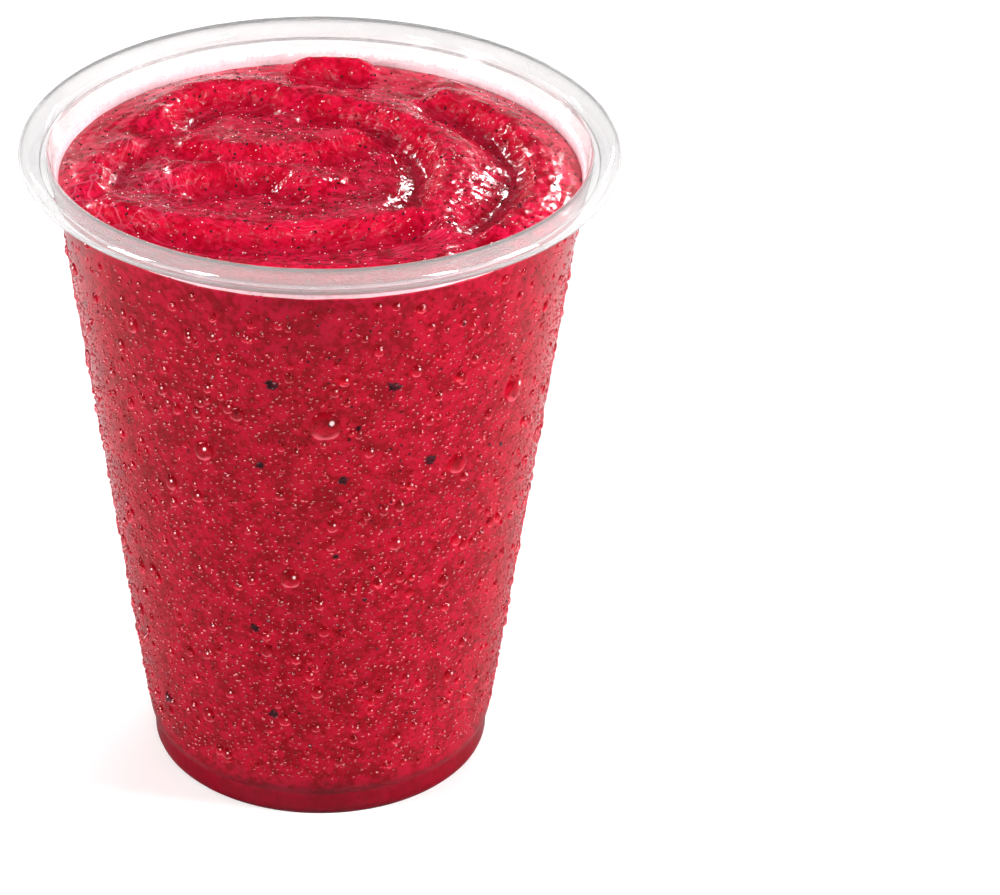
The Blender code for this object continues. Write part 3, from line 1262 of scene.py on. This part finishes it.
@dataclass
class WaterBeads:
    """Cold water on the outside of the cup, in three sizes; half widths in millimetres."""

    cup: CupSizes
    seed: int = 11
    small_large_count: int = 26
    small_large_widths: Span = (0.8, 1.25)
    small_large_heights: Span = (12, 99)
    medium_count: int = 1100
    medium_widths: Span = (0.45, 1.0)
    medium_lengths: Span = (0.9, 1.35)
    medium_swells: Span = (0.4, 0.6)
    medium_gap: float = 0.9
    fine_pitch: float = 1.08
    fine_shake: float = 0.4
    fine_width: float = 0.13
    fine_spread: float = 0.26
    fine_power: float = 1.6
    fine_lengths: Span = (0.9, 1.3)
    fine_swells: Span = (0.45, 0.75)
    fine_gap: float = 0.8
    fine_sectors: int = 4
    root_depth: float = 0.45 * MM
    lowest: float = 9.0 * MM
    highest: float = 106.0 * MM
    smooth_from: float = 97.0 * MM
    smooth_share: float = 0.6
    shapes: int = 4
    sag: float = 0.15
    wobble: float = 0.16
    # The red tint of both finishes is painted: it stands in for the drink seen through the clear water.
    drops: DropFinish = DropFinish(
        "cold_water", (1.0, 0.60, 0.65), refraction=1.333, roughness=0.04, shadow=(0.95, 0.70, 0.74)
    )
    mist: DropFinish = DropFinish(
        "cold_dew", (1.0, 0.62, 0.67), refraction=1.333, roughness=0.03, shadow=(0.95, 0.70, 0.74),
        painted_caustic_glow=0.10, glint_spots=((-0.22, 0.30, 0.0), (0.36, 0.34, 0.0)), glint_radius=0.20, shine=1.35,
        glint_colour=(1.0, 0.60, 0.66),
    )

    def template(self, sides: int, rings: int, shape: int) -> bpy.types.Mesh:
        """A domed drop of unit half width, whose flat back is the only part below zero.

        Args:
            sides: segments round its edge.
            rings: rings of the sphere it is cut from.
            shape: which of the uneven outlines it has.

        Returns:
            The drop's mesh.
        """
        builder = bmesh.new()
        bmesh.ops.create_uvsphere(builder, u_segments=sides, v_segments=rings, radius=1.0)
        cut = bmesh.ops.bisect_plane(
            builder, geom=builder.verts[:] + builder.edges[:] + builder.faces[:],
            plane_co=(0, 0, -0.01), plane_no=(0, 0, 1), clear_inner=True,
        )
        rim = [item for item in cut["geom_cut"] if isinstance(item, bmesh.types.BMEdge)]
        bmesh.ops.contextual_create(builder, geom=rim)
        bmesh.ops.recalc_face_normals(builder, faces=builder.faces)
        for vert in builder.verts:
            x, y, z = vert.co
            uneven = 1 + self.wobble * noise.noise(Vector((x * 1.3 + shape * 5.1, y * 1.3, 0.5)))
            vert.co = Vector((x * (1 - self.sag * 0.5 * y) * uneven, y * uneven, z * (1 - self.sag * y)))
        return finished_mesh(builder, "bead_template")

    def large(self) -> list[Bead]:
        """The named large beads and smaller ones at the same places as in the solid.

        Returns:
            The beads.
        """
        beads = list(LARGE_BEADS)
        draw = random.Random(self.seed)
        while len(beads) < len(LARGE_BEADS) + self.small_large_count:
            width = draw.uniform(*self.small_large_widths)
            turn, height = draw.uniform(-180, 180), draw.uniform(*self.small_large_heights)
            beads.append(Bead(turn, height, width, width * 1.2, width * 0.5))
        return beads

    def medium(self, taken: np.ndarray) -> list[Bead]:
        """Medium beads at random places clear of those that are there.

        Args:
            taken: rows (x, y, z, half width) of beads to keep clear of, in millimetres.

        Returns:
            The beads.
        """
        draw = random.Random(self.seed + 1)
        least, most = self.medium_widths
        beads: list[Bead] = []
        while len(beads) < self.medium_count:
            width = least + (most - least) * draw.random() ** 2
            height = draw.uniform(self.lowest / MM, self.highest / MM)
            turn = draw.uniform(-180, 180)
            gaps = np.linalg.norm(taken[:, :3] - self.spot(turn, height), axis=1) - taken[:, 3]
            if gaps.min() > width * self.medium_gap:
                length, swell = draw.uniform(*self.medium_lengths), draw.uniform(*self.medium_swells)
                beads.append(Bead(turn, height, width, width * length, width * swell))
        return beads

    def fine(self, taken: np.ndarray) -> list[Bead]:
        """Fine beads in shaken rows all over the wall, sparser on the smooth band under the rim.

        Args:
            taken: rows (x, y, z, half width) of beads to keep clear of, in millimetres.

        Returns:
            The beads.
        """
        draw = random.Random(self.seed + 2)
        shake = self.fine_shake
        beads: list[Bead] = []
        row = self.lowest / MM
        while row < self.highest / MM:
            across = 360 * self.fine_pitch / (2 * math.pi * self.cup.wall_radius(row * MM) / MM)
            place = -180 + draw.random() * across
            while place < 180:
                turn = place + draw.uniform(-shake, shake) * across
                height = row + draw.uniform(-shake, shake) * self.fine_pitch
                width = self.fine_width + self.fine_spread * draw.random() ** self.fine_power
                length, swell = draw.uniform(*self.fine_lengths), draw.uniform(*self.fine_swells)
                place += across
                if height > self.smooth_from / MM and draw.random() < self.smooth_share:
                    continue
                gaps = np.abs(taken[:, :3] - self.spot(turn, height)).max(axis=1) - taken[:, 3]
                if gaps.min() > width * self.fine_gap:
                    beads.append(Bead(turn, height, width, width * length, width * swell))
            row += self.fine_pitch
        return beads

    def spot(self, turn: float, height: float) -> np.ndarray:
        """A place on the wall, in millimetres."""
        radius, angle = self.cup.wall_radius(height * MM) / MM, math.radians(turn)
        return np.array((radius * math.sin(angle), -radius * math.cos(angle), height))

    def rows(self, beads: list[Bead]) -> np.ndarray:
        """Where beads are, as rows (x, y, z, half width) in millimetres."""
        return np.array([(*self.spot(bead.turn, bead.height), bead.half_width) for bead in beads])

    def copy(self, bead: Bead) -> Copy:
        """Places a unit drop as a bead on the wall, rooted below the wall's face."""
        size = Vector((bead.half_width, bead.half_length, bead.swell)) * MM
        return Copy(self.cup.on_wall(math.radians(bead.turn), bead.height * MM), size, self.root_depth)

    def sector(self, bead: Bead) -> int:
        """Which sector of the wall a bead is on."""
        return int((bead.turn / 360 + 0.5) * self.fine_sectors) % self.fine_sectors

    def piece(
        self, name: str, kind: BeadKind, beads: list[Bead], finish: bpy.types.Material
    ) -> bpy.types.Object:
        """Builds one piece of beads, which belongs to the cup.

        Args:
            name: the end of the piece's name.
            kind: how finely its drops are cut.
            beads: the beads.
            finish: their finish.

        Returns:
            The piece.
        """
        templates = [self.template(*BEAD_FACETS[kind], shape) for shape in range(self.shapes)]
        mesh = joined_copies(f"water_beads_{name}", templates, [self.copy(bead) for bead in beads])
        piece = place_piece(mesh, [finish])
        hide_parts("cup")
        return piece

    def dress(self) -> list[bpy.types.Object]:
        """Builds a piece for each of the larger sizes of bead and one for each sector of fine ones.

        Returns:
            The pieces.
        """
        water, dew = self.drops.material(), self.mist.material()
        large = self.large()
        medium = self.medium(self.rows(large))
        fine = self.fine(np.vstack([self.rows(large), self.rows(medium)]))
        pieces = [
            self.piece(BeadKind.LARGE.value, BeadKind.LARGE, large, water),
            self.piece(BeadKind.MEDIUM.value, BeadKind.MEDIUM, medium, water),
        ]
        for sector in range(self.fine_sectors):
            share = [bead for bead in fine if self.sector(bead) == sector]
            pieces.append(self.piece(f"{BeadKind.FINE.value}_{sector}", BeadKind.FINE, share, dew))
        return pieces


@dataclass(frozen=True)
class Speck:
    """A dark bit of berry skin seen through the wall, in degrees and millimetres."""

    turn: float
    height: float
    half_width: float
    half_length: float


SKIN_SPECKS = (
    Speck(-11.0, 90.7, 1.0, 0.8),
    Speck(16.6, 89.8, 1.2, 0.9),
    Speck(8.7, 82.5, 0.5, 0.5),
    Speck(-14.5, 74.6, 0.7, 0.5),
    Speck(5.5, 72.2, 0.8, 0.7),
    Speck(27.2, 73.7, 0.9, 0.8),
    Speck(3.9, 56.7, 0.6, 0.5),
    Speck(-18.5, 40.6, 0.9, 0.7),
    Speck(-14.3, 22.2, 0.8, 0.7),
    Speck(11.9, 47.2, 0.4, 0.4),
)


@dataclass
class BerryBits:
    """Seeds and bits of skin in the drink, on its top and against the wall; sizes in millimetres."""

    cup: CupSizes
    drink: bpy.types.Object
    seed: int = 5
    shapes: int = 5
    top_seeds: int = 1100
    top_seed_sizes: Span = (0.09, 0.24)
    bubbles: int = 900
    bubble_sizes: Span = (0.06, 0.12)
    top_lengths: Span = (0.7, 1.8)
    top_thickness: float = 0.7
    side_seeds: int = 260
    side_seed_sizes: Span = (0.10, 0.20)
    side_seed_lengths: Span = (0.7, 1.6)
    side_seed_heights: Span = (9, 106)
    back_specks: int = 16
    back_speck_sizes: Span = (0.5, 1.0)
    back_speck_turns: Span = (50, 310)
    back_speck_heights: Span = (14, 100)
    side_thickness: float = 0.17
    side_width: float = 0.95
    side_spin: float = 0.8
    depth: float = 0.42 * MM
    pip_unevenness: float = 0.5
    shred_unevenness: float = 1.1
    finish: SkinFinish = SkinFinish("berry_skin", (0.010, 0.0, 0.003), (0.055, 0.001, 0.007))
    # Painted highlights: the bubbles on top are pale and opaque, their white standing in for the glints of
    # small wet bubbles.
    bubble_glint_finish: SkinFinish = SkinFinish("bubble_glint_white", (0.95, 0.62, 0.68), (1.0, 0.9, 0.92))

    def pip(self, shape: int) -> bpy.types.Mesh:
        """A small uneven seed of unit half width.

        Args:
            shape: which of the uneven shapes it has.

        Returns:
            The seed's mesh.
        """
        builder = bmesh.new()
        bmesh.ops.create_icosphere(builder, subdivisions=1, radius=1.0)
        for vert in builder.verts:
            vert.co *= 1 + self.pip_unevenness * noise.noise(vert.co * 1.4 + Vector((shape * 3.7, 0.0, 0.0)))
        return finished_mesh(builder, "pip_template")

    def shred(self, shape: int) -> bpy.types.Mesh:
        """A ragged bit of skin of about unit half width.

        Args:
            shape: which of the ragged shapes it has.

        Returns:
            The bit's mesh.
        """
        builder = bmesh.new()
        bmesh.ops.create_icosphere(builder, subdivisions=3, radius=1.0)
        for vert in builder.verts:
            uneven = noise.noise(vert.co * 2.6 + Vector((shape * 3.7, 0.0, 0.0)))
            spread = 1.0 + self.shred_unevenness * uneven
            vert.co = Vector((vert.co.x * spread, vert.co.y * spread, vert.co.z))
        return finished_mesh(builder, "shred_template")

    def top_faces(self) -> list[bpy.types.MeshPolygon]:
        """The faces of the drink's top, sorted by their corners so that every run has them in one order.

        Returns:
            The faces.
        """
        mesh = self.drink.data
        faces = [face for face in mesh.polygons if face.material_index == 0]
        return sorted(faces, key=lambda face: sorted(mesh.vertices[corner].co[:] for corner in face.vertices))

    def top_places(self, count: int, sizes: Span, seed: int) -> list[Copy]:
        """Places of small bits half sunk in the stirred surface.

        Args:
            count: how many bits.
            sizes: least and greatest half width, in millimetres.
            seed: seed of the draws.

        Returns:
            The places.
        """
        draw = random.Random(seed)
        top = self.top_faces()
        areas = np.cumsum([face.area for face in top])
        places = []
        for _ in range(count):
            face = top[int(np.searchsorted(areas, draw.random() * areas[-1]))]
            half = draw.uniform(*sizes) * MM
            turned = face.normal.to_track_quat("Z", "Y").to_matrix().to_4x4()
            spin = Matrix.Rotation(draw.uniform(0, math.pi), 4, "Z")
            size = Vector((half, half * draw.uniform(*self.top_lengths), half * self.top_thickness))
            places.append(Copy(Matrix.Translation(face.center) @ turned @ spin, size))
        return places

    def skin(self) -> list[Speck]:
        """The specks of skin seen in front and others round the back.

        Returns:
            The specks.
        """
        draw = random.Random(self.seed + 1)
        specks = list(SKIN_SPECKS)
        for _ in range(self.back_specks):
            half = draw.uniform(*self.back_speck_sizes)
            turn, height = draw.uniform(*self.back_speck_turns), draw.uniform(*self.back_speck_heights)
            specks.append(Speck(turn, height, half, half * 0.8))
        return specks

    def fine_seeds(self) -> list[Speck]:
        """Fine seeds all over the wall.

        Returns:
            The seeds.
        """
        draw = random.Random(self.seed + 3)
        specks = []
        for _ in range(self.side_seeds):
            half = draw.uniform(*self.side_seed_sizes)
            turn, height = draw.uniform(-180, 180), draw.uniform(*self.side_seed_heights)
            specks.append(Speck(turn, height, half, half * draw.uniform(*self.side_seed_lengths)))
        return specks

    def side_places(self, specks: list[Speck]) -> list[Copy]:
        """Places of specks against the wall.

        Args:
            specks: the specks.

        Returns:
            The places.
        """
        draw = random.Random(self.seed + 4)
        places = []
        for speck in specks:
            stand = self.cup.on_wall(math.radians(speck.turn), speck.height * MM, self.depth)
            spin = Matrix.Rotation(draw.uniform(-self.side_spin, self.side_spin), 4, "Z")
            size = Vector((speck.half_width * self.side_width, speck.half_length, self.side_thickness)) * MM
            places.append(Copy(stand @ spin, size))
        return places

    def dress(self) -> list[bpy.types.Object]:
        """Builds the seeds on top and the specks at the side.

        Returns:
            The pieces.
        """
        skin = self.finish.material()
        pieces = []
        seeds = self.top_places(self.top_seeds, self.top_seed_sizes, self.seed)
        bubbles = self.top_places(self.bubbles, self.bubble_sizes, self.seed + 2)
        for name, places, finish, template in (
            ("seeds_on_top", seeds, skin, self.pip),
            ("bubbles_on_top", bubbles, self.bubble_glint_finish.material(), self.pip),
            ("seeds_at_wall", self.side_places(self.fine_seeds()), skin, self.pip),
            ("skin_at_wall", self.side_places(self.skin()), skin, self.shred),
        ):
            mesh = joined_copies(name, [template(shape) for shape in range(self.shapes)], places)
            pieces.append(place_piece(mesh, [finish]))
        return pieces


@dataclass(frozen=True)
class Lamp:
    """A rectangular lamp aimed at the cup: its place and size in metres, and its power in watts."""

    name: str
    place: Place
    size: Span
    power: float
    use: LampUse

    def hang(self, aim_height: float) -> None:
        """Hangs the lamp, aimed at the cup's axis at a height.

        Args:
            aim_height: that height, in metres.
        """
        data = bpy.data.lights.new(self.name, "AREA")
        data.shape = "RECTANGLE"
        data.size, data.size_y = self.size
        data.energy = self.power
        lamp = bpy.data.objects.new(self.name, data)
        bpy.context.scene.collection.objects.link(lamp)
        lamp.location = self.place
        aim = Vector((0.0, 0.0, aim_height)) - Vector(self.place)
        lamp.rotation_euler = aim.to_track_quat("-Z", "Y").to_euler()
        lamp.visible_glossy = self.use is not LampUse.FILL
        lamp.visible_transmission = False
        lamp.visible_diffuse = self.use is not LampUse.MIRROR


LAMPS = (
    Lamp("lamp_left", (-0.98, -0.30, 0.42), (0.28, 0.48), 11.5, LampUse.BOTH),
    Lamp("lamp_right", (0.98, -0.25, 0.42), (0.28, 0.48), 14.5, LampUse.BOTH),
    Lamp("fill_above", (0.1, 0.35, 1.0), (0.4, 0.4), 4.4, LampUse.FILL),
    Lamp("box_left", (-0.60, -0.60, 0.55), (0.14, 0.34), 8.0, LampUse.MIRROR),
    Lamp("box_right", (0.60, -0.58, 0.55), (0.14, 0.34), 8.0, LampUse.MIRROR),
    Lamp("window_right", (0.46, 0.95, 0.58), (0.08, 0.20), 3.2, LampUse.MIRROR),
    Lamp("window_left", (-0.62, 0.80, 0.62), (0.08, 0.16), 3.0, LampUse.MIRROR),
)


@dataclass
class Studio:
    """A pale floor, soft light and the camera at the photograph's angle."""

    image_width: float = 1000.0
    image_height: float = 895.0
    focal_pixels: float = 4121.0
    axis_pixel_x: float = 320.9
    axis_pixel_y: float = 452.6
    target_height: float = 0.055
    distance: float = 0.70
    elevation: float = 30.46
    sensor: float = 36.0
    nearest: float = 0.01
    aim_height: float = 0.08
    floor_size: float = 6.0
    floor_fade: Span = (-0.06, 0.12)
    pale_floor: Colour = (0.96, 0.96, 0.96)
    dark_floor: Colour = (0.14, 0.14, 0.14)
    clear_floor: Colour = (0.27, 0.27, 0.27)
    gloss_floor: Colour = (0.50, 0.50, 0.50)
    floor_roughness: float = 0.6
    floor_glow: float = 0.30
    pale_room: Colour = (0.13, 0.13, 0.135)
    dark_room: Colour = (0.06, 0.06, 0.062)
    ceiling: Colour = (0.06, 0.06, 0.062)
    ceiling_fade: Span = (0.45, 0.85)
    room_fade: Span = (0.1, 0.8)
    fill: Colour = (0.30, 0.30, 0.30)
    white: Colour = (1.0, 1.0, 1.0)

    def camera(self) -> None:
        """Places the camera and pans it so that the cup stands where it does in the photograph."""
        data = bpy.data.cameras.new("camera")
        data.sensor_width = self.sensor
        data.lens = self.focal_pixels / self.image_width * self.sensor
        data.clip_start = self.nearest
        camera = bpy.data.objects.new("camera", data)
        bpy.context.scene.collection.objects.link(camera)
        tilt = math.radians(self.elevation)
        back = Vector((0.0, -math.cos(tilt), math.sin(tilt))) * self.distance
        camera.location = Vector((0.0, 0.0, self.target_height)) + back
        pan = math.atan((self.image_width / 2 - self.axis_pixel_x) / self.focal_pixels)
        nod = math.atan((self.axis_pixel_y - self.image_height / 2) / self.focal_pixels)
        base = Euler((math.pi / 2 - tilt, 0.0, 0.0)).to_matrix()
        turned = base @ Matrix.Rotation(-pan, 3, "Y") @ Matrix.Rotation(nod, 3, "X")
        camera.rotation_euler = turned.to_euler()
        bpy.context.scene.camera = camera

    def floor_finish(self) -> bpy.types.Material:
        """A matt floor that is pale to the camera and darker where the cup mirrors or refracts it.

        Returns:
            The material.
        """
        material, board = new_material("pale_floor")
        light_path = board.add("LightPath").outputs
        behind = board.ramp(board.part(board.add("NewGeometry").outputs["Position"], "Y"), *self.floor_fade)
        mirrored = board.blend(behind, self.dark_floor, self.gloss_floor)
        through = board.blend(behind, self.clear_floor, self.pale_floor)
        colour = board.blend(light_path["Is Glossy Ray"], self.pale_floor, mirrored)
        inputs = {
            "Base Color": board.blend(light_path["Is Transmission Ray"], colour, through),
            "Roughness": self.floor_roughness,
            "Specular IOR Level": 0.0,
            "Emission Color": self.white,
            "Emission Strength": board.times(light_path["Is Camera Ray"], self.floor_glow),
        }
        board.surface(board.add("BsdfPrincipled", inputs))
        return material

    def floor(self) -> None:
        """Lays the floor."""
        builder = bmesh.new()
        bmesh.ops.create_grid(builder, x_segments=1, y_segments=1, size=self.floor_size / 2)
        mesh = finished_mesh(builder, "floor")
        mesh.materials.append(self.floor_finish())
        floor = bpy.data.objects.new("floor", mesh)
        bpy.context.scene.collection.objects.link(floor)

    def world(self) -> None:
        """A dim room for mirrored and refracted rays, a soft fill for matt faces, white for the camera."""
        world = bpy.data.worlds.new("studio")
        world.use_nodes = True
        world.node_tree.nodes.clear()
        board = NodeBoard(world.node_tree)
        direction = board.add("SeparateXYZ", {0: board.add("TexCoord").outputs["Generated"]}).outputs
        light_path = board.add("LightPath").outputs
        room = board.blend(board.ramp(direction["Y"], *self.room_fade), self.dark_room, self.pale_room)
        room = board.blend(board.ramp(direction["Z"], *self.ceiling_fade), room, self.ceiling)
        room = board.blend(light_path["Is Diffuse Ray"], room, self.fill)
        colour = board.blend(light_path["Is Camera Ray"], room, self.white)
        board.surface(board.add("Background", {"Color": colour, "Strength": 1.0}), "OutputWorld")
        bpy.context.scene.world = world

    def build(self) -> None:
        """Builds the whole studio."""
        self.camera()
        self.floor()
        self.world()
        for lamp in LAMPS:
            lamp.hang(self.aim_height)
        bpy.context.scene.view_settings.view_transform = "Standard"


def main() -> None:
    """Builds the studio, the drink, the cup and what is on them."""
    logging.basicConfig(level=logging.INFO, format="%(message)s")
    Studio().build()
    cup = CupSizes()
    drink = Drink(cup).dress(PulpGrain().group())
    ClearCup(cup).dress()
    PulpSmear(cup).dress()
    WaterBeads(cup).dress()
    BerryBits(cup, drink).dress()


if __name__ == "__main__":
    main()
